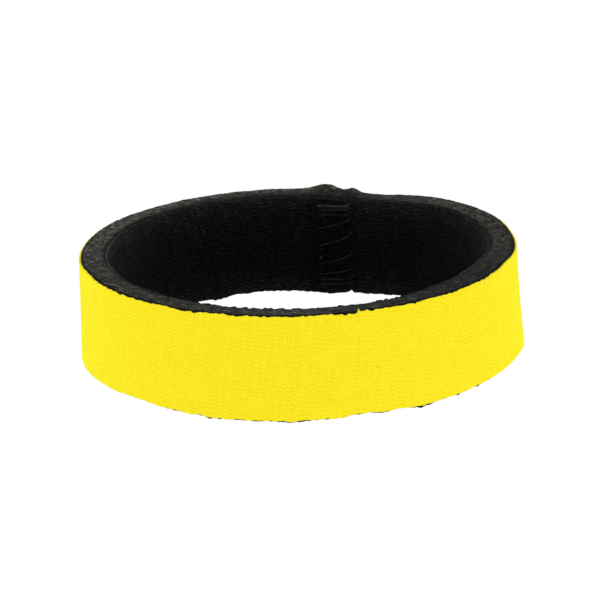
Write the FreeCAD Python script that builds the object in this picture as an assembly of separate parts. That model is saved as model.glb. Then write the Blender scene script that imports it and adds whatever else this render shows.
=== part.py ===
"""A sweat wristband cut from knit-faced foam sheet.

A straight strip of laminate is bent into a ring. Its two ends are butted and joined by one
zigzag lockstitch seam. From the outside in, the strip is an outer knit, a film of glue, a foam
core, another film of glue and an inner knit lining. The seam is two threads: the needle thread
shows on the lining, the bobbin thread on the outer knit, and they hook each other inside the
foam at every needle hole.

Frame: the origin is on the floor in the middle of the ring, +Z is the ring's axis, and the
seam is at +Y. Lengths are in millimetres and angles in radians.
"""
import FreeCAD, Part
import math
import os

Vector = FreeCAD.Vector
CENTRE = Vector(0, 0, 0)
UP = Vector(0, 0, 1)

# The strip: its outside radius, its width and its layers.
outer_radius = 37.5
band_width = 18.0
outer_knit_thickness = 0.35
glue_thickness = 0.05
foam_thickness = 3.85
lining_thickness = 0.40

# The knits and the glue stop this far short of the foam at both edges of the strip.
edge_setback = 0.15
foam_edge_radius = 0.15
butt_gap = 0.10

# The threads. At each needle hole a thread turns back in a half circle of loop_radius, which
# leaves room for the other thread's half circle to pass through it.
thread_radius = 0.15
loop_radius = 0.33
hole_bend_radius = 0.25
run_bend_radius = 25.0
tail_length = 1.2

# Needle holes in sewing order, as depths below the top edge. They lie by turns on the right and
# on the left of the butt line, seen from inside the ring. The short steps at both ends are the
# back-tacks. Distances from the butt line are measured round the lining's surface.
right_hole_distance = 2.0
left_hole_distance = 4.0
top_tack_depths = [1.20, 2.10, 2.00, 3.05, 2.90, 3.95]
zigzag_depths = [3.95, 6.5, 6.8, 9.7, 10.4, 13.0, 13.1, 14.9]
bottom_tack_depths = [14.95, 15.75, 15.80, 16.55]

outer_glue_outside = outer_radius - outer_knit_thickness
foam_outside = outer_glue_outside - glue_thickness
foam_inside = foam_outside - foam_thickness
inner_glue_inside = foam_inside - glue_thickness
lining_inside = inner_glue_inside - lining_thickness
foam_middle = (foam_inside + foam_outside) / 2


def ring_point(radius, angle, height):
    """A point on the ring. The angle runs from the butt line at +Y towards +X."""
    return Vector(radius * math.sin(angle), radius * math.cos(angle), height)


def strip_layer(inside, outside, setback, edge_radius=0):
    """One layer of the strip, bent round the axis from one side of the butt gap to the other."""
    low, high = setback, band_width - setback
    corners = [(inside, low), (outside, low), (outside, high), (inside, high), (inside, low)]
    half_gap_angle = butt_gap / foam_middle / 2
    outline = Part.makePolygon([ring_point(radius, half_gap_angle, z) for radius, z in corners])
    layer = Part.Face(outline).revolve(CENTRE, -UP, 360 - math.degrees(2 * half_gap_angle))
    if edge_radius:
        long_edges = [edge for edge in layer.Edges if edge.Length > math.pi * inside]
        layer = layer.makeFillet(edge_radius, long_edges)
    return layer


def rounded_path(points, bend_radii):
    """Straight runs between the points, joined at each bend by an arc tangent to both runs."""
    edges = []
    start = points[0]
    for before, corner, after, radius in zip(points, points[1:], points[2:], bend_radii):
        arriving = (corner - before).normalize()
        leaving = (after - corner).normalize()
        half_turn = arriving.getAngle(leaving) / 2
        arc_start = corner - arriving * (radius * math.tan(half_turn))
        arc_end = corner + leaving * (radius * math.tan(half_turn))
        inward = (leaving - arriving).normalize()
        arc_middle = corner + inward * (radius / math.cos(half_turn) - radius)
        if (arc_start - start).Length > 1e-6:
            edges.append(Part.LineSegment(start, arc_start).toShape())
        edges.append(Part.Arc(arc_start, arc_middle, arc_end).toShape())
        start = arc_end
    edges.append(Part.LineSegment(start, points[-1]).toShape())
    return edges


def swept_tube(path, radius):
    """A closed tube along lines and tangent arcs, made by carrying one circle along them."""
    start = path[0].valueAt(path[0].FirstParameter)
    section = Part.Circle(start, path[0].tangentAt(path[0].FirstParameter), radius).toShape()
    faces = [Part.Face(Part.Wire(section))]
    for edge in path:
        if isinstance(edge.Curve, Part.Line):
            step = edge.valueAt(edge.LastParameter) - edge.valueAt(edge.FirstParameter)
            faces.append(section.extrude(step))
            section = section.translated(step)
        else:
            turn = math.degrees(edge.LastParameter - edge.FirstParameter)
            faces.append(section.revolve(edge.Curve.Center, edge.Curve.Axis, turn))
            section = section.rotated(edge.Curve.Center, edge.Curve.Axis, turn)
    faces.append(Part.Face(Part.Wire(section)))
    shell = Part.makeShell([face for shape in faces for face in shape.Faces])
    shell.sewShape()
    tube = Part.makeSolid(shell)
    if tube.Volume < 0:
        tube.reverse()
    return tube


def needle_holes():
    """Each hole's angle and height, and its side: +1 on the right and -1 on the left."""
    for number, depth in enumerate(top_tack_depths + zigzag_depths + bottom_tack_depths):
        side = 1 if number % 2 == 0 else -1
        distance = right_hole_distance if side > 0 else left_hole_distance
        yield side * distance / lining_inside, band_width - depth, side


def thread_path(surface, dive):
    """The path of one thread, which runs along a surface and dives into the foam at each hole.

    dive is +1 for the needle thread, which dives away from the ring's axis, and -1 for the
    bobbin thread. A thread goes in by a hole's upper leg and comes out by its lower one. The
    legs of the two threads stand on opposite diagonals of the hole.
    """
    turning_depth = foam_middle + dive * loop_radius / 2
    leg_offset = loop_radius / math.sqrt(2)
    points = []
    bend_radii = []
    for angle, height, side in needle_holes():
        outwards = ring_point(1, angle, 0)
        across = ring_point(1, angle + math.pi / 2, 0)
        to_upper_leg = across * (dive * side * leg_offset) + UP * leg_offset
        on_surface = ring_point(surface, angle, height)
        in_foam = ring_point(turning_depth, angle, height)
        tail = across * (side * tail_length)
        entry = on_surface + to_upper_leg
        if points:
            middle = (points[-1] + entry) / 2
            reach = math.hypot(middle.x, middle.y)
            points.append(Vector(middle.x * surface / reach, middle.y * surface / reach, middle.z))
            bend_radii.append(run_bend_radius)
        else:
            points.append(entry - tail)
        points += [entry, in_foam + to_upper_leg, in_foam - to_upper_leg, on_surface - to_upper_leg]
        bend_radii += [hole_bend_radius, loop_radius, loop_radius, hole_bend_radius]
    points.append(points[-1] - tail)
    return rounded_path(points, bend_radii)


def seam_thread(name, surface, dive):
    """One thread of the seam, with its volume checked against its length and section."""
    path = thread_path(surface, dive)
    thread = swept_tube(path, thread_radius)
    length = sum(edge.Length for edge in path)
    expected = length * math.pi * thread_radius ** 2
    print(f"{name}: {length:.1f} mm long, volume {thread.Volume:.3f} of {expected:.3f} mm3")
    return thread


threads = {
    "seam_needle_thread": seam_thread("seam_needle_thread", lining_inside, 1),
    "seam_bobbin_thread": seam_thread("seam_bobbin_thread", outer_radius, -1),
}
layers = {
    "outer_knit_face": strip_layer(outer_glue_outside, outer_radius, edge_setback),
    "outer_glue_film": strip_layer(foam_outside, outer_glue_outside, edge_setback),
    "foam_core": strip_layer(foam_inside, foam_outside, 0, foam_edge_radius),
    "inner_glue_film": strip_layer(inner_glue_inside, foam_inside, edge_setback),
    "inner_knit_lining": strip_layer(lining_inside, inner_glue_inside, edge_setback),
}
# The stitches lie in channels that they press into the layers.
nodes = {name: layer.cut(list(threads.values())) for name, layer in layers.items()}
nodes.update(threads)

os.makedirs("parts", exist_ok=True)
for name, shape in nodes.items():
    solids = shape.Solids
    if len(solids) != 1 or not shape.isValid():
        raise ValueError(f"{name} has {len(solids)} solids, valid: {shape.isValid()}")
    solids[0].exportStep(f"parts/{name}.step")
    print(f"{name}: {shape.Volume:.2f} mm3, {len(shape.Faces)} faces")
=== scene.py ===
import math

import bpy
import numpy as np
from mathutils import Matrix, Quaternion, Vector


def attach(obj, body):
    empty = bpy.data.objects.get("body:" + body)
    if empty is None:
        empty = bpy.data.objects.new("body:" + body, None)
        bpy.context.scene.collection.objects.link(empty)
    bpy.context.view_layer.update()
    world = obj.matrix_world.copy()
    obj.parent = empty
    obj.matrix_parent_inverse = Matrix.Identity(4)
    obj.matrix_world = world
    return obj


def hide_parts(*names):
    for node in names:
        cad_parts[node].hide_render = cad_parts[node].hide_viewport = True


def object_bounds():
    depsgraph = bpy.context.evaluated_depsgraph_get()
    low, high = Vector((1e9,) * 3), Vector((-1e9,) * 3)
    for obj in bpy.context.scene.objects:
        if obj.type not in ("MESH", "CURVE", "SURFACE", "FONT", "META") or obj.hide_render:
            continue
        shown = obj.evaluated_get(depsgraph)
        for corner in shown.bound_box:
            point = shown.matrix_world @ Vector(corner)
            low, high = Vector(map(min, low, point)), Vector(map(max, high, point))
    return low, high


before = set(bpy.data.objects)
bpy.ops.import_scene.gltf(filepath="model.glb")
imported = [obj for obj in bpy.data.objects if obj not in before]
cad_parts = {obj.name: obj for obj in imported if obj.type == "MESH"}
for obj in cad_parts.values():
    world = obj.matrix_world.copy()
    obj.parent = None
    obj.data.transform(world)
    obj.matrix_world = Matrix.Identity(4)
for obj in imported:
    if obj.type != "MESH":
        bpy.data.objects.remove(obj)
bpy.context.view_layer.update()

# A knit-faced foam wristband: one strip of laminate bent into a ring and zigzag-stitched at +Y.
# Every layer is built in strip coordinates: s runs round the strip from the butt line at +Y
# towards +X, z is the height and r the distance from the ring's axis. place() bends them all
# the same way, so that the layers stay together. Lengths are in metres. Places, widths and sizes
# in the tables are in millimetres, and so are all the values in tables named _MM.
MM = 0.001
TURN = 2 * math.pi


def ring_size(node):
    """The inner and outer radius and the lowest and highest z of a ring-shaped CAD node."""
    points = np.array([v.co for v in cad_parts[node].data.vertices])
    radii = np.hypot(points[:, 0], points[:, 1])
    return radii.min(), radii.max(), points[:, 2].min(), points[:, 2].max()


KNIT_BACK, KNIT_FACE, KNIT_LOW, KNIT_HIGH = ring_size("outer_knit_face")
FOAM_IN, FOAM_OUT, FOAM_LOW, FOAM_HIGH = ring_size("foam_core")
LINING_FACE, LINING_BACK, LINING_LOW, LINING_HIGH = ring_size("inner_knit_lining")
MID_RADIUS = (FOAM_IN + FOAM_OUT) / 2
STRIP_LENGTH = TURN * MID_RADIUS

# ---------------------------------------------------------------- the strip and how it is bent
# A change of height near an edge is (place along the strip, change at the outside, change at the
# inside, width, reach from the edge). The stitches squash the sewn ends: seen from inside, the
# outside of the foam bulges up beside the butt line and dips further right, and the inside rolls
# down.
TOP_EDGE_MM = [
    (-10, 0.14, 0.14, 60, 12), (-12, -0.13, -0.10, 9, 12), (28, 0.38, 0.22, 11, 12),
    (6, -0.60, -0.60, 6.5, 9), (-3.3, 1.05, 0.10, 2.3, 2.5), (1.6, 0.65, 0.10, 1.2, 1.5),
    (0, -0.02, -0.12, 0.5, 1.5), (-2, 0, -0.75, 6, 1.6), (-20, 0, -0.35, 15, 1.6),
    (59, 0.40, 0.10, 5, 4), (-75, 0.45, 0.10, 4, 4), (14, 0, -0.40, 6, 2), (103, 0, -0.12, 14, 2),
    (85, 0, -0.12, 7, 2), (36, 0.20, 0, 4, 6), (31, 0.12, 0.05, 8, 8),
]
BOTTOM_EDGE_MM = [
    (-3.2, -0.42, -0.42, 3.2, 3), (1.1, 0.55, 0.55, 0.8, 1.5), (-8, -0.15, -0.15, 3, 4),
    (-88.5, 0.52, 0.52, 10, 12), (82, -0.15, -0.15, 3, 4), (86.3, 0.36, 0.36, 1.6, 3),
    (92.5, 0.42, 0.42, 2.2, 3), (104, -0.12, -0.12, 5, 4), (-74, 0.14, 0.14, 5, 5),
    (56, 0.40, 0.20, 5, 4), (8, 0.24, 0.24, 1.5, 2), (-15.5, 0.18, 0.18, 1.2, 2),
    (-24.5, -0.35, -0.35, 2, 2), (-19, 0.09, 0.09, 2, 2), (12, 0.30, 0.30, 1.6, 2),
    (-107, -0.16, -0.16, 4, 3), (90, 0.14, 0.14, 1.5, 2),
]
# All of the bottom edge lies this much lower than in the nominal strip.
BOTTOM_DROP = 0.32 * MM
# (place, change, width): the seam pulls the ring in, and the foam is thicker on its inside at two
# places.
INWARD_MM = [(-5, 0.5, 6), (5, 0.9, 7)]
THICKER_MM = [(63, 0.75, 17), (-80, 0.40, 20)]
# (place, change of radius at the top, at the bottom, width): the sides stand out further than an
# even ring. The power shapes how the change at the top gives way to the one at the bottom.
LEAN_MM = [(46.5, 0.32, 1.35, 13), (-64, 0.05, 0.35, 15), (-45, 0.32, 0.10, 9)]
LEAN_POWER = 1.6
# The butt line's foot lies this far to the right of its top, seen from inside, and the strip
# slants with it over a short reach on both sides.
BUTT_SLANT = 1.1 * MM
BUTT_SLANT_REACH = 1.8 * MM


def signed(s):
    """The same place along the strip, counted from the butt line the short way round."""
    return (s + STRIP_LENGTH / 2) % STRIP_LENGTH - STRIP_LENGTH / 2


def falloff(distance, reach):
    """A soft fall from 1, at no distance, to nearly 0 at twice the reach."""
    return np.exp(-((distance / reach) ** 2))


def ease(share):
    """Goes from 0 to 1 with the share, level at both ends."""
    return share * share * (3 - 2 * share)


def bump(s, centre_mm, width_mm):
    """A soft bump along the strip, from 0 to 1."""
    return falloff(signed(s - centre_mm * MM), width_mm * MM)


def bumps(s, rows):
    """A sum of soft bumps along the strip, each given as (place, height, width)."""
    return sum(height * bump(s, centre, width) for centre, height, width in rows)


def edge_change(s, depth, away, rows):
    """The change of height at a depth from 0, inside, to 1, and at a distance from the edge."""
    return sum(
        (inside + (outside - inside) * depth) * MM * bump(s, centre, width) * np.exp(-away / (reach * MM))
        for centre, outside, inside, width, reach in rows
    )


def place(s, z, r):
    """The point in space of a point on the strip."""
    up = z / FOAM_HIGH
    depth = np.clip((r - LINING_FACE) / (KNIT_FACE - LINING_FACE), 0, 1)
    height = z - BOTTOM_DROP * (1 - up)
    height = height + edge_change(s, depth, np.abs(FOAM_HIGH - z), TOP_EDGE_MM)
    height = height + edge_change(s, depth, np.abs(z - FOAM_LOW), BOTTOM_EDGE_MM)
    radius = r - MM * bumps(s, INWARD_MM) - MM * (1 - depth) * bumps(s, THICKER_MM)
    low_share = np.clip(1 - up, 0, 1) ** LEAN_POWER
    for centre, top, bottom, width in LEAN_MM:
        radius = radius + (top + (bottom - top) * low_share) * MM * bump(s, centre, width)
    slant = BUTT_SLANT * (1 - up) * falloff(signed(s), BUTT_SLANT_REACH)
    angle = (s + slant) / MID_RADIUS
    return np.stack([radius * np.sin(angle), radius * np.cos(angle), height], axis=-1)


def noise(s, other, size_mm, seed):
    """Smooth random values from -1 to 1 over the strip, with one random knot to every size.

    other is the second coordinate: a height, a radius, or 0 for values that change only along
    the strip. size_mm is one size for both directions, or a pair.
    """
    size_s, size_other = np.broadcast_to(size_mm, 2) * MM
    u, v = np.broadcast_arrays(s / size_s, other / size_other)
    u0, v0 = np.floor(u).astype(int), np.floor(v).astype(int)
    i, j = u0 - u0.min(), v0 - v0.min()
    knots = np.random.default_rng(seed).uniform(-1, 1, (i.max() + 2, j.max() + 2))
    fu, fv = ease(u - u0), ease(v - v0)
    low = knots[i, j] * (1 - fu) + knots[i + 1, j] * fu
    high = knots[i, j + 1] * (1 - fu) + knots[i + 1, j + 1] * fu
    return low * (1 - fv) + high * fv


# ---------------------------------------------------------------- meshes
def make_piece(name, vertices, faces, node, material, attributes):
    """A smooth mesh that rides on the part's one body and stands for a CAD node."""
    mesh = bpy.data.meshes.new(name)
    mesh.from_pydata(vertices.reshape(-1, 3).tolist(), [], faces)
    mesh.polygons.foreach_set("use_smooth", [True] * len(mesh.polygons))
    for label, values in attributes.items():
        layer = mesh.attributes.new(label, "FLOAT_VECTOR", "POINT")
        layer.data.foreach_set("vector", np.stack(values, axis=-1).astype(np.float32).ravel())
    mesh.materials.append(material)
    mesh.update()
    piece = bpy.data.objects.new(name, mesh)
    bpy.context.scene.collection.objects.link(piece)
    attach(piece, "root")
    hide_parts(node)
    return piece


def loop_faces(rows, around):
    """Faces round a closed outline of so many points, carried along so many rows, ends shut."""
    i, j = np.meshgrid(np.arange(rows - 1), np.arange(around), indexing="ij")
    a, b = i * around + j, i * around + (j + 1) % around
    sides = np.stack([a, a + around, b + around, b], axis=-1).reshape(-1, 4).tolist()
    last = (rows - 1) * around
    return sides + [list(range(around)), list(range(last + around - 1, last - 1, -1))]


def turned_over(faces):
    """The same faces, looking the other way."""
    return [corners[::-1] for corners in faces]


def strip_rows(count, end_gap):
    """Places along the strip, from one side of the butt line round to the other."""
    return np.linspace(end_gap, STRIP_LENGTH - end_gap, count)[:, None]


# ---------------------------------------------------------------- the seam's needle holes
# Distances round the lining from the butt line, and depths below the top edge, by turns on the
# right and on the left of the butt line seen from inside. Above RETURNS_SHOW the stitches that run
# back to the right lie on the lining, and below it they are sunk in it.
RIGHT_HOLES = 2.0 * MM
LEFT_HOLES = -4.0 * MM
RETURNS_SHOW = 15.5 * MM
HOLE_DEPTHS_MM = [
    1.20, 2.10, 2.00, 3.05, 2.90, 3.95, 3.95, 6.5, 6.8, 9.7, 10.4, 13.0, 13.1, 14.9,
    14.95, 15.75, 15.80, 16.55,
]
HOLES = [
    ((LEFT_HOLES if number % 2 else RIGHT_HOLES) * MID_RADIUS / LINING_FACE, FOAM_HIGH - depth * MM)
    for number, depth in enumerate(HOLE_DEPTHS_MM)
]
# How far from a hole and from a stitch the knit is pulled in, and how strongly under a stitch.
HOLE_REACH = 0.45 * MM
STITCH_REACH = 0.3 * MM
STITCH_PULL = 0.5


def hole_pull(s, z):
    """How strongly the stitches pull a knit in at a point, from 0 to 1."""
    near = signed(s)
    pull = np.zeros(np.broadcast(near, z).shape)
    for hole_s, hole_z in HOLES:
        away = np.hypot(near - hole_s, z - hole_z)
        pull = np.maximum(pull, falloff(away, HOLE_REACH))
    for (s0, z0), (s1, z1) in zip(HOLES, HOLES[1:]):
        # A return that is sunk leaves the knit's face as it is.
        if s0 < s1 and z0 < RETURNS_SHOW:
            continue
        step_s, step_z = s1 - s0, z1 - z0
        along = ((near - s0) * step_s + (z - z0) * step_z) / (step_s ** 2 + step_z ** 2)
        along = np.clip(along, 0, 1)
        away = np.hypot(near - s0 - along * step_s, z - z0 - along * step_z)
        pull = np.maximum(pull, STITCH_PULL * falloff(away, STITCH_REACH))
    return pull


# ---------------------------------------------------------------- the knits
# A knit's mesh: rows along the strip, points up its face, and the gap to the butt line.
KNIT_ROWS = 1148
KNIT_POINTS_UP = 82
KNIT_END_GAP = 0.12 * MM
# The knit's courses and its pairs of wales, as cycles per millimetre along s and up z. Both lean a
# little, as in the photo.
COURSE = (-0.16, 1.41)
WALE_PAIR = (0.74, 0.13)
COURSE_WAVE = 1.2
# How much of the relief is loops, single wales and pairs of wales.
OUTER_SHARES = (0.58, 0.27, 0.15)
LINING_SHARES = (0.62, 0.16, 0.15)
# How far the yarns wander along the strip and up it, at a looseness of 1, and the size of the
# wandering. The jitter is finer and the same for both knits. The contrast is how clearly the
# relief shows: its mean, its spread and the size of its patches.
WANDER_ALONG_MM, WANDER_ALONG_SIZE = 0.26, 2.6
WANDER_UP_MM, WANDER_UP_SIZE = 0.15, 2.1
JITTER_UP_MM, JITTER_UP_SIZE = 0.06, 0.7
CONTRAST, CONTRAST_SPREAD, CONTRAST_SIZE = 0.8, 0.6, (1.3, 1.1)
# The cut edges: waves as (height, size), and notches in the top, which open where their noise is
# above a level. The top is most ragged round one place, and far from it CALM times as ragged.
TOP_WAVES_MM = [(0.13, 0.55), (0.10, 1.7)]
BOTTOM_WAVES_MM = [(0.10, 0.6), (0.08, 2.0)]
NOTCH_MM, NOTCH_SIZE, NOTCH_LEVEL = 0.4, 0.9, 0.55
RAGGED_PLACE = 103
RAGGED_WIDTH = 28
CALM = 0.5
# (place, change, width): the outer knit is cut lower than the foam on the far side, and has two
# loose tufts of yarn at the front right. The lining has neither.
OUTER_TOP_MM = [(-11, -0.28, 45), (92.5, 0.62, 0.13), (91.1, 0.22, 0.22)]
LINING_TOP_MM = []
# How far the face is rounded off at the cut edges and the ends, with the reach of both, how deep
# the stitches pull it in, and the height of each step of the rounding over the cut.
ROUNDING = 0.12 * MM
EDGE_REACH = 0.14 * MM
END_REACH = 0.22 * MM
PULL_DEPTH = 0.16 * MM
CUT_STEP = 0.02 * MM
# Painted light and shade on the knits' cut edges, a highlight on the lining's and shade on the
# yellow knit's: how far it shows all round, on the back half of the cut, and by place as (place,
# change, width), how unevenly, and how far below the edge.
CUT_LIGHT = 0.03
CUT_BACK = 0.35
CUT_ROWS = [(-69, 1.05, 9), (-54, 0.35, 8), (54, 0.40, 9), (64, 0.45, 4), (72, 0.20, 10)]
CUT_UNEVEN, CUT_UNEVEN_SIZE = 0.7, 1.1
CUT_DEPTH = 0.05 * MM
# The lining's tone is painted light and shade. Up its height it has painted light near both cut
# edges and painted shade in the middle. It has painted shade over the pulled-in sewn stretch, and
# painted light that changes by place as (place, change, width).
LINING_HEIGHTS_MM = (0, 1.2, 3, 6, 9, 11, 13, 15, 16.4, 17.8)
LINING_PAINTED_LIGHT = (1.4, 1.1, 0.66, 0.52, 0.50, 0.60, 0.72, 0.92, 1.45, 2.1)
LINING_PAINTED_LIGHT_ROWS = [(30, -0.20, 15), (-52, 0.25, 18)]
SEWN_FROM_MM, SEWN_TO_MM, SEWN_BLEND_MM = -6.4, 3.3, 0.35
SEWN_SHADE = 0.38


def knit_relief(across, up, shares):
    """The relief of the looped yarns, from about -1 to 1, at a point given in millimetres."""
    course = TURN * (COURSE[0] * across + COURSE[1] * up)
    pair = TURN * (WALE_PAIR[0] * across + WALE_PAIR[1] * up)
    loops = np.cos(course + COURSE_WAVE * np.sin(pair))
    return shares[0] * loops + shares[1] * np.cos(2 * pair) + shares[2] * np.cos(pair)


def lining_painted_light(s, z):
    """The lining's painted light and shade, with painted shade over its sewn stretch."""
    near = signed(s) / MM
    past_start = 1 / (1 + np.exp((SEWN_FROM_MM - near) / SEWN_BLEND_MM))
    before_end = 1 / (1 + np.exp((near - SEWN_TO_MM) / SEWN_BLEND_MM))
    by_height = np.interp(z / MM, LINING_HEIGHTS_MM, LINING_PAINTED_LIGHT)
    return by_height * (1 - SEWN_SHADE * past_start * before_end) * (1 + bumps(s, LINING_PAINTED_LIGHT_ROWS))


def outer_tone(s, z):
    """The outer knit's tone, the same all over."""
    return np.ones(np.broadcast(s, z).shape)


def waves(s, rows, seed):
    """Random waves along the strip, given as rows of (height, size)."""
    return sum(height * noise(s, 0, size, seed + number) for number, (height, size) in enumerate(rows))


def cut_edges(s, low, high, looseness, top_rows, seed):
    """The heights of a knit's cut edges, the bottom one and the top one."""
    raggedness = math.sqrt(looseness) * (CALM + (1 - CALM) * bump(s, RAGGED_PLACE, RAGGED_WIDTH))
    ragged = waves(s, TOP_WAVES_MM, seed) * raggedness
    notches = NOTCH_MM * np.clip(noise(s, 0, NOTCH_SIZE, seed + 2) - NOTCH_LEVEL, 0, 1)
    top = high + MM * (ragged - notches) + MM * bumps(s, top_rows)
    bottom = low - MM * waves(s, BOTTOM_WAVES_MM, seed + 3)
    return bottom, top


def make_knit(name, node, material, face, back, low, high, relief, shares, looseness, tone,
              top_rows, seed):
    """A knit strip: a dense face with its yarns in relief, and a plain back against the foam."""
    outward = 1 if face > back else -1
    s = strip_rows(KNIT_ROWS, KNIT_END_GAP)
    bottom, top = cut_edges(s, low, high, looseness, top_rows, seed)
    z = bottom + np.linspace(0, 1, KNIT_POINTS_UP)[None, :] * (top - bottom)
    # Where each point lies in the knit, in millimetres.
    across = s * face / MID_RADIUS / MM
    across = across + looseness * WANDER_ALONG_MM * noise(s, z, WANDER_ALONG_SIZE, seed + 5)
    upward = z / MM + looseness * WANDER_UP_MM * noise(s, z, WANDER_UP_SIZE, seed + 6)
    upward = upward + JITTER_UP_MM * noise(s, z, JITTER_UP_SIZE, seed + 8)
    contrast = CONTRAST + CONTRAST_SPREAD * noise(s, z, CONTRAST_SIZE, seed + 7)
    from_edge = np.minimum(top - z, z - bottom)
    from_end = np.minimum(s, STRIP_LENGTH - s)
    rounding = np.clip(falloff(from_edge, EDGE_REACH) + falloff(from_end, END_REACH), 0, 1)
    sunk = ROUNDING * rounding + PULL_DEPTH * hole_pull(s, z)
    r = face + outward * (relief * contrast * knit_relief(across, upward, shares) - sunk)
    # The outline runs up the face, over the cut top edge, down the back and under the bottom edge.
    # The points after the face are (share of the way from the back to the face, height).
    behind = [(0.5, top - CUT_STEP), (0, top - 2 * CUT_STEP), (0, (top + bottom) / 2),
              (0, bottom + 2 * CUT_STEP), (0.5, bottom + CUT_STEP)]
    r_all = np.hstack([r, *(back + (face - back) * share + 0 * s for share, _ in behind)])
    z_all = np.hstack([z, *(height for _, height in behind)])
    s_all = s + 0 * z_all
    zeros = np.zeros((KNIT_ROWS, len(behind)))
    # How much painted light and shade the cut edges get, by place.
    light = CUT_LIGHT + bumps(s, CUT_ROWS) * (1 + CUT_UNEVEN * noise(s, 0, CUT_UNEVEN_SIZE, seed + 9))
    cut = np.hstack([np.clip(1 - from_edge / CUT_DEPTH, 0, 1), zeros + CUT_BACK]) * light
    attributes = {
        "knit": (np.hstack([across, zeros + across[:, :1]]), np.hstack([upward, zeros]),
                 np.hstack([contrast, zeros])),
        "tone": (tone(s_all, z_all), cut, 0 * z_all),
    }
    faces = loop_faces(KNIT_ROWS, z_all.shape[1])
    if outward > 0:
        faces = turned_over(faces)
    piece = make_piece(name, place(s_all, z_all, r_all), faces, node, material, attributes)
    return piece


# ---------------------------------------------------------------- the foam
# The foam's mesh: rows along the strip, points across each cut and down each side, and the gap to
# the butt line. The cuts stop a margin short of the sides, and the sides a share of their height
# short of the cuts.
FOAM_ROWS = 1400
FOAM_POINTS_ACROSS = 25
FOAM_POINTS_DOWN = 5
FOAM_END_GAP = 0.004 * MM
FOAM_MARGIN = 0.02 * MM
SIDE_MARGIN_SHARE = 0.02
# The cuts are crowned a little, and rounded off at the corners by a high power.
CROWN = 0.04 * MM
CORNER = 0.06 * MM
CORNER_POWER = 14
# The cuts' roughness: waves, grain, and open cells where their noise is above a level.
TOP_WAVE = 0.05 * MM
BOTTOM_WAVE = 0.10 * MM
WAVE_SIZE = (1.6, 1.2)
GRAIN, GRAIN_SIZE = 0.055 * MM, 0.32
CELL_DEPTH, CELL_SIZE, CELL_LEVEL = 0.16 * MM, 0.42, 0.45
# How far the foam's outer bottom corner hangs down all round, and by place as (place, change,
# width): torn bits that hang lower, and one place where it hangs less. The power keeps this to
# the corner.
FOAM_HANG_MM = 0.06
FOAM_NUBS_MM = [
    (69.2, 0.34, 0.5), (74.3, 0.22, 0.5), (80.3, 0.20, 0.5), (82, 0.30, 0.6), (83.2, 0.10, 0.4),
    (91, -0.16, 0.6), (98, 0.06, 0.5), (102.2, 0.10, 0.7), (103.7, 0.20, 0.5), (105, 0.12, 0.6),
    (109.3, 0.06, 0.5), (-104.2, 0.36, 0.6), (-106, 0.10, 0.6), (66, 0.08, 0.5), (77, 0.07, 0.5),
]
HANG_POWER = 6
# The tone of the cut foam all round and by place, as (place, change, width), and in the same way
# how far the painted shade on its inner part, next to the lining, reaches across it, as a share of
# its thickness.
FOAM_TONE = 0.37
FOAM_TONE_ROWS = [(-36, 0.40, 30), (70, -0.19, 22), (103, 0.15, 7), (25, 0.08, 18), (-10, 0.16, 7)]
FOAM_SHADE_REACH = 0.18
FOAM_SHADE_ROWS = [(-23, 0.66, 17), (-5, 0.55, 7), (3, 0.70, 6)]
FOAM_SHADE_TONE = 0.10
# The painted shade line at the foam's outer edge, in the gap against the outer knit, fades out round
# this place, on the far side.
LINE_GAP_PLACE = -5
LINE_GAP_WIDTH = 70
# The foam's grain is drawn out along the strip: distances along it count for this share.
FOAM_GRAIN_ALONG = 0.6


def foam_tone_and_shade(s, depth):
    """The tone of the cut foam at a depth from 0, against the lining, to 1, with its painted shade."""
    tone = FOAM_TONE + bumps(s, FOAM_TONE_ROWS)
    # Painted shade over the inner part of the cut, next to the lining.
    light = np.clip(depth / (FOAM_SHADE_REACH + bumps(s, FOAM_SHADE_ROWS)), 0, 1)
    return tone * (FOAM_SHADE_TONE + (1 - FOAM_SHADE_TONE) * ease(light))


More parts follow.
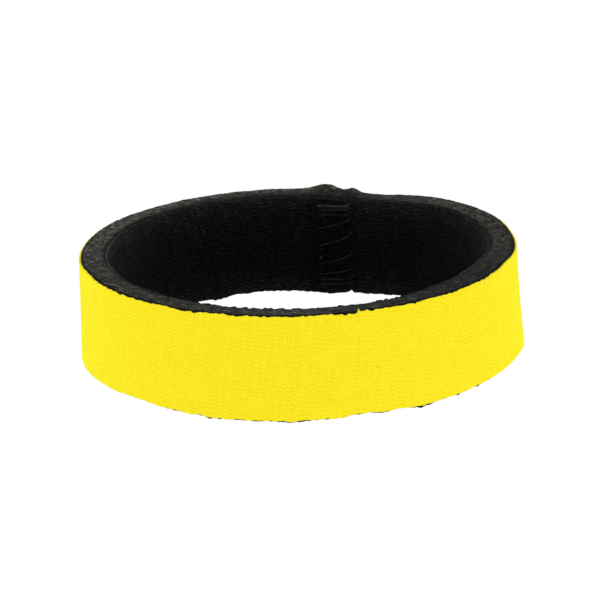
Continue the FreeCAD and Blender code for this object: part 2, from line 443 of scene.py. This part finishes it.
def make_foam(material):
    """The foam core: rough cut edges above and below, and plain sides under the knits."""
    s = strip_rows(FOAM_ROWS, FOAM_END_GAP)
    share = np.linspace(0, 1, FOAM_POINTS_ACROSS)[None, :]
    r_cut = FOAM_IN + FOAM_MARGIN + share * (FOAM_OUT - FOAM_IN - 2 * FOAM_MARGIN)
    off_middle = np.abs(2 * share - 1)
    rounded = CROWN * off_middle ** 2 + CORNER * off_middle ** CORNER_POWER
    hang = share ** HANG_POWER * MM * (FOAM_HANG_MM + bumps(s, FOAM_NUBS_MM))
    cuts = []
    for edge, outward, wave, hanging, seed in (
            (FOAM_HIGH, 1, TOP_WAVE, 0, 40), (FOAM_LOW, -1, BOTTOM_WAVE, hang, 50)):
        rough = wave * noise(s, r_cut, WAVE_SIZE, seed) + GRAIN * noise(s, r_cut, GRAIN_SIZE, seed + 1)
        cells = CELL_DEPTH * np.clip(noise(s, r_cut, CELL_SIZE, seed + 2) - CELL_LEVEL, 0, 1)
        cuts.append(edge + outward * (rough - cells + hanging - rounded))
    z_top, z_low = cuts
    r_cut = r_cut + 0 * s
    down = np.linspace(SIDE_MARGIN_SHARE, 1 - SIDE_MARGIN_SHARE, FOAM_POINTS_DOWN)[None, :]
    z_out = z_top[:, -1:] + down * (z_low[:, -1:] - z_top[:, -1:])
    z_in = z_low[:, :1] + down * (z_top[:, :1] - z_low[:, :1])
    r = np.hstack([r_cut, FOAM_OUT + 0 * z_out, r_cut[:, ::-1], FOAM_IN + 0 * z_in])
    z = np.hstack([z_top, z_out, z_low[:, ::-1], z_in])
    s_all = s + 0 * z
    depth = (r - FOAM_IN) / (FOAM_OUT - FOAM_IN)
    # How strongly the painted shade line at the outer edge shows, by place.
    line = 1 - bump(s_all, LINE_GAP_PLACE, LINE_GAP_WIDTH) ** 2
    attributes = {
        "strip": (s_all / MM, z / MM, depth),
        "tone": (foam_tone_and_shade(s_all, depth), line, 0 * z),
    }
    vertices = place(s_all, z, r)
    faces = loop_faces(FOAM_ROWS, z.shape[1])
    foam = make_piece("foam_core_body", vertices, faces, "foam_core", material, attributes)
    return foam


# ---------------------------------------------------------------- the glue
GLUE_ROWS = 700
GLUE_POINTS_UP = 9
GLUE_END_GAP = 0.05 * MM
GLUE_UNEVEN, GLUE_UNEVEN_SIZE = 0.06 * MM, 0.8
GLUE_SEED = 60


def make_glue(name, node, inside, outside, material):
    """A film of glue, flush with the knit that it holds."""
    s = strip_rows(GLUE_ROWS, GLUE_END_GAP)
    share = np.linspace(0, 1, GLUE_POINTS_UP)[None, :]
    uneven = GLUE_UNEVEN * noise(s, 0, GLUE_UNEVEN_SIZE, GLUE_SEED)
    z_up = KNIT_LOW - uneven + share * (KNIT_HIGH - KNIT_LOW + 2 * uneven)
    z = np.hstack([z_up, z_up[:, ::-1]])
    r = np.hstack([inside + 0 * z_up, outside + 0 * z_up])
    faces = loop_faces(GLUE_ROWS, z.shape[1])
    return make_piece(name, place(s + 0 * z, z, r), faces, node, material, {})


# ---------------------------------------------------------------- the threads
# A thread's mesh: points round it, and the spacing of its rings. Three plies twist round it, and
# between them it is thinner by a share of its radius.
THREAD_RADIUS = 0.16 * MM
THREAD_POINTS = 14
RING_SPACING = 0.08 * MM
PLIES = 3
PLY_DEPTH = 0.26
TWIST_LENGTH = 0.9 * MM
# At each hole a thread bends in just under the surface, and turns back in a half circle, of which
# the points at 45 degrees are DIAGONAL times the radius along and across. A tail is left at both
# ends of the seam.
LOOP_RADIUS = 0.33 * MM
HOLE_BEND = 0.12 * MM
DIAGONAL = 0.7
TAIL = 1.2 * MM
# Between holes a stitch bows up from the surface. One that runs down sags in proportion to its
# drop, up to a limit, and one that is sunk in the lining bows down into it.
RUN_POINTS = 13
LIFT = 0.07 * MM
SUNK = 0.26 * MM
SAG = 0.25 * MM
FULL_SAG_DROP = 2 * MM
# The curve through the points of a thread's path is worked out in this many steps between them.
CURVE_STEPS = 12
# The stitches' tone is painted light: painted light on the top back-tack, where more light falls,
# and on the knots at the right holes.
TACK_LOW = 15.0 * MM
TACK_HIGH = 16.2 * MM
LOW_STITCH_PAINTED_LIGHT = 0.18
TACK_PAINTED_LIGHT = 0.88
KNOT_PAINTED_LIGHT = 0.45
KNOT_REACH = 0.4 * MM
# The stitches that run back to the right lie lower between the others, and get this much painted
# shade. The painted shade is full where a thread heads that way by this share or more.
RETURN_SHADE = 0.65
RETURN_HEADING = 0.5


def thread_route(surface, dive):
    """Points of a thread's path, as (s, z, r).

    The thread runs along a surface from hole to hole, and into the foam and back at each hole.
    dive is +1 for the needle thread, which dives away from the ring's axis, and -1 for the
    bobbin thread.
    """
    turning = MID_RADIUS + dive * LOOP_RADIUS / 2
    offset = LOOP_RADIUS / math.sqrt(2)
    bend = np.array([0, 0, dive * HOLE_BEND])
    turn_back = np.array([0, 0, dive * LOOP_RADIUS])
    route = []
    for number, (s, z) in enumerate(HOLES):
        side = -1 if number % 2 else 1
        upper = np.array([dive * side * offset, offset, 0])
        on_surface, in_foam = np.array([s, z, surface]), np.array([s, z, turning])
        entry = on_surface + upper
        start = route[-1] if route else entry - np.array([side * TAIL, 0, 0])
        drop = start[1] - entry[1]
        sag = SAG * min(1, drop / FULL_SAG_DROP) if drop > 0 else 0
        sunk = dive > 0 and side > 0 and z < RETURNS_SHOW
        lift = -SUNK if sunk else LIFT
        first = 1 if route else 0
        for share in np.linspace(0, 1, RUN_POINTS)[first:-1]:
            bow = math.sin(math.pi * share)
            change = np.array([0, -sag * bow, -dive * lift * math.sqrt(bow)])
            route.append(start + (entry - start) * share + change)
        route += [
            entry + bend,
            in_foam + upper,
            in_foam + DIAGONAL * (upper + turn_back),
            in_foam + turn_back,
            in_foam + DIAGONAL * (turn_back - upper),
            in_foam - upper,
            on_surface - upper + bend,
            on_surface - upper,
        ]
    route.append(route[-1] - np.array([side * TAIL, 0, 0]))
    return np.array(route)


def smooth_line(points, spacing):
    """A Catmull-Rom line through the points, resampled at an even spacing."""
    before = np.vstack([points[:1], points, points[-1:]])
    t = np.linspace(0, 1, CURVE_STEPS + 1)[:-1, None]
    pieces = []
    for p0, p1, p2, p3 in zip(before, before[1:], before[2:], before[3:]):
        pieces.append(0.5 * (2 * p1 + (p2 - p0) * t + (2 * p0 - 5 * p1 + 4 * p2 - p3) * t ** 2
                             + (3 * p1 - p0 - 3 * p2 + p3) * t ** 3))
    dense = np.vstack([*pieces, points[-1:]])
    length = np.concatenate([[0], np.cumsum(np.linalg.norm(np.diff(dense, axis=0), axis=1))])
    even = np.arange(0, length[-1], spacing)
    return np.stack([np.interp(even, length, dense[:, k]) for k in range(3)], axis=-1)


def thread_painted_light(points, tangents, surface):
    """The painted light and shade of each point of a thread."""
    tone = np.interp(points[:, 2], (TACK_LOW, TACK_HIGH), (LOW_STITCH_PAINTED_LIGHT, TACK_PAINTED_LIGHT))
    tone = tone * (1 - RETURN_SHADE * np.clip(tangents[:, 0] / RETURN_HEADING, 0, 1))
    for hole_s, hole_z in HOLES[::2]:
        away = np.linalg.norm(points - place(hole_s, hole_z, surface), axis=1)
        tone = np.maximum(tone, KNOT_PAINTED_LIGHT * falloff(away, KNOT_REACH))
    return tone


def make_thread(name, node, surface, dive, material):
    """A three-ply sewing thread: a tube with three lobes that twist round its length."""
    route = thread_route(surface, dive)
    points = smooth_line(place(route[:, 0], route[:, 1], route[:, 2]), RING_SPACING)
    tangents = np.gradient(points, axis=0)
    tangents /= np.linalg.norm(tangents, axis=1)[:, None]
    normal = np.cross(tangents[0], (0.0, 0.0, 1.0))
    angles = np.arange(THREAD_POINTS) * TURN / THREAD_POINTS
    rings = []
    plies = []
    for number, (point, tangent) in enumerate(zip(points, tangents)):
        normal = normal - tangent * (normal @ tangent)
        normal /= np.linalg.norm(normal)
        binormal = np.cross(tangent, normal)
        turn = TURN * number * RING_SPACING / TWIST_LENGTH
        ply = np.abs(np.cos(PLIES / 2 * (angles - turn)))
        radius = (THREAD_RADIUS * (1 - PLY_DEPTH + PLY_DEPTH * ply))[:, None]
        round_point = np.cos(angles)[:, None] * normal + np.sin(angles)[:, None] * binormal
        rings.append(point + radius * round_point)
        plies.append(ply)
    vertices = np.array(rings)
    zero = np.zeros(vertices.shape[:2])
    tone = thread_painted_light(points, tangents, surface)[:, None]
    attributes = {"ply": (np.array(plies), zero + tone, zero)}
    faces = turned_over(loop_faces(len(points), THREAD_POINTS))
    return make_piece(name, vertices, faces, node, material, attributes)


# ---------------------------------------------------------------- materials
# How much the fibres and the patches change a knit's tone. The patches go with its tangles.
FIBRE_CONTRAST = 0.35
PATCH_SHARE = 0.26
# The tangles of fibres lie at this angle, and this scale makes them longer one way than the other.
TANGLE_ANGLE = math.radians(24)
TANGLE_SCALE = (1.1, 2.6, 1.0)
# Flecks begin to show where their noise is above the first level, and show in full above the
# second.
FLECK_LEVELS = (0.765, 0.83)
# How strongly the painted light and shade of the cut edges cover the knit's colour, and how much
# relief the fibres add.
END_STRENGTH = 1.4
FIBRE_RELIEF = 0.35


def grey(level):
    """A colour without hue."""
    return (level, level, level)


class Shader:
    """A small helper that builds a Principled material's nodes."""

    def __init__(self, name, roughness, specular):
        self.material = bpy.data.materials.new(name)
        self.material.use_nodes = True
        self.tree = self.material.node_tree
        self.surface = self.tree.nodes["Principled BSDF"]
        self.surface.inputs["Roughness"].default_value = roughness
        self.surface.inputs["Specular IOR Level"].default_value = specular

    def attribute(self, name):
        """A vector attribute of the mesh, whole and as its three parts."""
        source = self.tree.nodes.new("ShaderNodeAttribute")
        source.attribute_name = name
        parts = self.tree.nodes.new("ShaderNodeSeparateXYZ")
        self.tree.links.new(source.outputs["Vector"], parts.inputs[0])
        return source.outputs["Vector"], parts.outputs[0], parts.outputs[1], parts.outputs[2]

    def position(self):
        """The place in the object's own coordinates, in metres."""
        return self.tree.nodes.new("ShaderNodeTexCoord").outputs["Object"]

    def put(self, value, socket):
        """Links a socket, or sets it when the value is plain."""
        if isinstance(value, bpy.types.NodeSocket):
            self.tree.links.new(value, socket)
        else:
            socket.default_value = value

    def math(self, operation, *values):
        """A calculation with values that are sockets or plain numbers."""
        node = self.tree.nodes.new("ShaderNodeMath")
        node.operation = operation
        for socket, value in zip(node.inputs, values):
            self.put(value, socket)
        return node.outputs[0]

    def swing(self, value, weight, level):
        """The level with a weight of a value added, where a value of a half adds nothing."""
        return self.math("MULTIPLY_ADD", self.math("SUBTRACT", value, 0.5), weight, level)

    def noise(self, vector, scale, detail=2.0, roughness=0.5):
        """Noise from 0 to 1, mostly near a half."""
        node = self.tree.nodes.new("ShaderNodeTexNoise")
        self.put(vector, node.inputs["Vector"])
        node.inputs["Scale"].default_value = scale
        node.inputs["Detail"].default_value = detail
        node.inputs["Roughness"].default_value = roughness
        return node.outputs[0]

    def ramp(self, value, stops):
        """Colours along a value: stops are (position, (r, g, b))."""
        node = self.tree.nodes.new("ShaderNodeValToRGB")
        self.put(value, node.inputs[0])
        points = node.color_ramp.elements
        while len(points) < len(stops):
            points.new(0.5)
        for point, (position, colour) in zip(points, stops):
            point.position = position
            point.color = (*colour, 1)
        return node.outputs[0]

    def mix(self, share, first, second, blend="MIX"):
        """Two colours mixed or blended, each a socket or (r, g, b)."""
        node = self.tree.nodes.new("ShaderNodeMix")
        node.data_type = "RGBA"
        node.blend_type = blend
        self.put(share, node.inputs[0])
        for socket, value in ((node.inputs[6], first), (node.inputs[7], second)):
            self.put((*value, 1) if isinstance(value, tuple) else value, socket)
        return node.outputs[2]

    def finish(self, colour, height, distance, strength):
        """Gives the surface its colour and its fine bump, and returns the material."""
        self.put(colour, self.surface.inputs["Base Color"])
        relief = self.tree.nodes.new("ShaderNodeBump")
        relief.inputs["Strength"].default_value = strength
        relief.inputs["Distance"].default_value = distance
        self.put(height, relief.inputs["Height"])
        self.tree.links.new(relief.outputs[0], self.surface.inputs["Normal"])
        return self.material


def knit_pattern(shader, shares):
    """The place in the knit, and its relief as nodes: knit_relief's formula times the contrast."""
    vector, across, up, contrast = shader.attribute("knit")

    def wave(direction):
        """The phase of a wave, from its cycles per millimetre across and up."""
        first = shader.math("MULTIPLY", across, TURN * direction[0])
        return shader.math("MULTIPLY_ADD", up, TURN * direction[1], first)

    pair = wave(WALE_PAIR)
    course = shader.math("MULTIPLY_ADD", shader.math("SINE", pair), COURSE_WAVE, wave(COURSE))
    loops = shader.math("MULTIPLY", shader.math("COSINE", course), shares[0])
    wales = shader.math("COSINE", shader.math("MULTIPLY", pair, 2.0))
    relief = shader.math("MULTIPLY_ADD", wales, shares[1], loops)
    relief = shader.math("MULTIPLY_ADD", shader.math("COSINE", pair), shares[2], relief)
    return vector, shader.math("MULTIPLY", relief, contrast)


def knit_material(name, shares, between, sides, crowns, cut_light_and_shade, fleck, fleck_strength,
                  sheen, sheen_roughness, sheen_tint, yarn_contrast, tangle_contrast):
    """A matte knit: painted shade between the yarns, painted light on top, fine fibres, painted cut
    edges.

    between, sides, crowns, cut_light_and_shade and fleck are colours, the first three those of the yarns.
    """
    shader = Shader(name, roughness=0.9, specular=0.0)
    vector, relief = knit_pattern(shader, shares)
    shader.surface.inputs["Sheen Weight"].default_value = sheen
    shader.surface.inputs["Sheen Roughness"].default_value = sheen_roughness
    shader.surface.inputs["Sheen Tint"].default_value = (*sheen_tint, 1)
    fibres = shader.noise(vector, scale=9.0, detail=3.0, roughness=0.6)
    turned = shader.tree.nodes.new("ShaderNodeMapping")
    turned.inputs["Rotation"].default_value = (0, 0, TANGLE_ANGLE)
    turned.inputs["Scale"].default_value = TANGLE_SCALE
    shader.put(vector, turned.inputs["Vector"])
    tangle = shader.noise(turned.outputs[0], scale=1.0, detail=2.0, roughness=0.6)
    patches = shader.noise(vector, scale=0.35, detail=2.0, roughness=0.5)
    # The relief sets painted shade between the yarns and painted light on their crowns.
    level = shader.math("MULTIPLY_ADD", relief, yarn_contrast, 0.5)
    level = shader.swing(fibres, FIBRE_CONTRAST, level)
    level = shader.swing(tangle, tangle_contrast, level)
    level = shader.swing(patches, PATCH_SHARE * tangle_contrast, level)
    colour = shader.ramp(level, [(0.0, between), (0.5, sides), (1.0, crowns)])
    _, tone, cut, _ = shader.attribute("tone")
    colour = shader.mix(1.0, colour, tone, "MULTIPLY")
    flecks = shader.noise(vector, scale=0.9, detail=1.0, roughness=0.4)
    flecks = shader.ramp(flecks, list(zip(FLECK_LEVELS, (grey(0), grey(fleck_strength)))))
    colour = shader.mix(flecks, colour, fleck)
    # Painted light and shade on the cut edges: a highlight on the lining, shade on the yellow knit.
    ends = shader.math("MULTIPLY", cut, shader.math("MULTIPLY", tangle, END_STRENGTH))
    colour = shader.mix(ends, colour, cut_light_and_shade)
    height = shader.math("MULTIPLY_ADD", fibres, FIBRE_RELIEF, relief)
    return shader.finish(colour, height, distance=0.05 * MM, strength=0.5)


def foam_material():
    """Cut foam rubber: charcoal, with pale specks and dark open cells."""
    shader = Shader("cut_foam", roughness=0.85, specular=0.08)
    _, s, z, depth = shader.attribute("strip")
    place_mm = shader.tree.nodes.new("ShaderNodeCombineXYZ")
    shader.put(shader.math("MULTIPLY", s, FOAM_GRAIN_ALONG), place_mm.inputs[0])
    shader.put(z, place_mm.inputs[1])
    shader.put(shader.math("MULTIPLY", depth, (FOAM_OUT - FOAM_IN) / MM), place_mm.inputs[2])
    grain = shader.noise(place_mm.outputs[0], scale=2.3, detail=3.0, roughness=0.7)
    blotches = shader.noise(place_mm.outputs[0], scale=1.0, detail=2.0, roughness=0.6)
    level = shader.swing(grain, weight=1.5, level=0.5)
    level = shader.swing(blotches, weight=1.1, level=level)
    colour = shader.ramp(level, [
        (0.20, (0.012, 0.012, 0.010)), (0.42, (0.044, 0.045, 0.037)), (0.56, (0.070, 0.070, 0.060)),
        (0.72, (0.12, 0.12, 0.105)), (0.90, (0.30, 0.30, 0.27)),
    ])
    _, tone, line, _ = shader.attribute("tone")
    colour = shader.mix(1.0, colour, tone, "MULTIPLY")
    # Painted shade in a thin line at the outer edge, in the gap against the outer knit.
    outer_edge_shade = shader.ramp(depth, [(0.885, grey(1)), (0.925, grey(0.14))])
    colour = shader.mix(line, colour, outer_edge_shade, "MULTIPLY")
    return shader.finish(colour, grain, distance=0.12 * MM, strength=0.6)


def glue_material():
    """Cured black adhesive, nearly matt."""
    shader = Shader("glue_film", roughness=0.7, specular=0.08)
    patches = shader.noise(shader.position(), scale=900.0)
    colour = shader.ramp(patches, [(0.3, grey(0.006)), (0.7, (0.014, 0.014, 0.013))])
    return shader.finish(colour, patches, distance=0.02 * MM, strength=0.4)


def thread_material():
    """Dark polyester thread: painted light on the crowns of its plies, and a painted glint here and
    there.
    """
    shader = Shader("sewing_thread", roughness=0.6, specular=0.1)
    _, ply, tone, _ = shader.attribute("ply")
    position = shader.position()
    fibres = shader.noise(position, scale=9000.0)
    painted_glints = shader.noise(position, scale=700.0, detail=1.0)
    # The crowns of the plies get painted light, and the grooves between them painted shade.
    level = shader.swing(fibres, weight=0.5, level=ply)
    tone = shader.math("MULTIPLY", tone, shader.ramp(painted_glints, [(0.38, grey(0.25)), (0.62, grey(1.3))]))
    colour = shader.ramp(level, [(0.1, grey(0.003)), (0.9, (0.045, 0.045, 0.046))])
    colour = shader.mix(1.0, colour, tone, "MULTIPLY")
    return shader.finish(colour, fibres, distance=0.02 * MM, strength=0.4)


# ---------------------------------------------------------------- build the band
YELLOW = knit_material(
    "yellow_knit", OUTER_SHARES,
    between=(0.84, 0.61, 0.008), sides=(0.95, 0.765, 0.0155), crowns=(0.985, 0.91, 0.031),
    cut_light_and_shade=(0.80, 0.62, 0.02), fleck=(0.62, 0.44, 0.004), fleck_strength=0.45,
    sheen=1.0, sheen_roughness=0.55, sheen_tint=(1.0, 1.0, 0.05),
    yarn_contrast=0.24, tangle_contrast=0.64,
)
BLACK = knit_material(
    "black_knit", LINING_SHARES,
    between=grey(0.0004), sides=(0.0038, 0.0038, 0.0037), crowns=(0.017, 0.017, 0.0165),
    cut_light_and_shade=(0.10, 0.10, 0.095), fleck=grey(0.030), fleck_strength=0.7,
    sheen=0.025, sheen_roughness=0.5, sheen_tint=grey(1.0),
    yarn_contrast=0.20, tangle_contrast=1.15,
)

make_foam(foam_material())
make_knit(
    "yellow_outer_knit", "outer_knit_face", YELLOW, face=KNIT_FACE, back=KNIT_BACK,
    low=KNIT_LOW, high=KNIT_HIGH, relief=0.05 * MM, shares=OUTER_SHARES, looseness=1.0,
    tone=outer_tone, top_rows=OUTER_TOP_MM, seed=10,
)
make_knit(
    "black_inner_lining", "inner_knit_lining", BLACK, face=LINING_FACE, back=LINING_BACK,
    low=LINING_LOW, high=LINING_HIGH, relief=0.06 * MM, shares=LINING_SHARES, looseness=1.7,
    tone=lining_painted_light, top_rows=LINING_TOP_MM, seed=20,
)
glue = glue_material()
make_glue("outer_glue", "outer_glue_film", FOAM_OUT, KNIT_BACK, glue)
make_glue("inner_glue", "inner_glue_film", LINING_BACK, FOAM_IN, glue)
thread = thread_material()
make_thread("needle_thread_stitches", "seam_needle_thread", LINING_FACE, 1, thread)
make_thread("bobbin_thread_stitches", "seam_bobbin_thread", KNIT_FACE, -1, thread)


# ---------------------------------------------------------------- floor, light and camera
def emission_material(name, colour, strength):
    """A material that gives off light of its own and takes none."""
    material = bpy.data.materials.new(name)
    material.use_nodes = True
    tree = material.node_tree
    tree.nodes.clear()
    light = tree.nodes.new("ShaderNodeEmission")
    light.inputs[0].default_value = (*colour, 1)
    light.inputs[1].default_value = strength
    output = tree.nodes.new("ShaderNodeOutputMaterial")
    tree.links.new(light.outputs[0], output.inputs[0])
    return material


FLOOR_SIZE = 4
FLOOR_GAP = 0.02 * MM


def make_floor():
    """A plain white floor just under the lowest point of the band."""
    lowest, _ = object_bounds()
    bpy.ops.mesh.primitive_plane_add(size=FLOOR_SIZE, location=(0, 0, lowest.z - FLOOR_GAP))
    floor = bpy.context.object
    floor.name = "floor"
    floor.data.materials.append(emission_material("white_floor", (1, 1, 1), 1.0))


def make_light():
    """Even light from all round, as in a white tent, with a weak soft light on each side."""
    for side in (-1, 1):
        lamp = bpy.data.lights.new("side_light", "AREA")
        lamp.energy = 0.16
        lamp.size = 0.35
        light = bpy.data.objects.new("side_light", lamp)
        light.location = (side * 0.5, -0.12, 0.16)
        light.rotation_euler = (-light.location).to_track_quat("-Z", "Y").to_euler()
        bpy.context.scene.collection.objects.link(light)
    world = bpy.data.worlds.new("white_tent")
    world.use_nodes = True
    background = world.node_tree.nodes["Background"]
    background.inputs["Color"].default_value = (1, 1, 1, 1)
    background.inputs["Strength"].default_value = 1.0
    bpy.context.scene.world = world


# The camera looks a little to the right of the band's middle and below it.
CAMERA_AZIMUTH = math.radians(14.2)
CAMERA_ELEVATION = math.radians(17.97)
CAMERA_ROLL = math.radians(-1.88)
CAMERA_DISTANCE = 0.694
CAMERA_LENS_MM = 241.0
AIM_RIGHT = 0.23 * MM
AIM_DOWN = 0.41 * MM


def make_camera():
    """A long lens a little above the band, with the seam right of the middle of the far side."""
    level = math.cos(CAMERA_ELEVATION)
    back = Vector((math.sin(CAMERA_AZIMUTH) * level, -math.cos(CAMERA_AZIMUTH) * level,
                   math.sin(CAMERA_ELEVATION)))
    turn = (-back).to_track_quat("-Z", "Y") @ Quaternion((0, 0, 1), CAMERA_ROLL)
    centre = Vector((0, 0, (FOAM_LOW + FOAM_HIGH) / 2))
    aim = centre + turn @ Vector((AIM_RIGHT, -AIM_DOWN, 0))
    camera = bpy.data.objects.new("camera", bpy.data.cameras.new("camera"))
    bpy.context.scene.collection.objects.link(camera)
    camera.location = aim + back * CAMERA_DISTANCE
    camera.rotation_mode = "QUATERNION"
    camera.rotation_quaternion = turn
    camera.data.sensor_width = 36
    camera.data.lens = CAMERA_LENS_MM
    camera.data.clip_start = 0.01
    bpy.context.scene.camera = camera


make_floor()
make_light()
make_camera()
bpy.context.scene.view_settings.view_transform = "Standard"
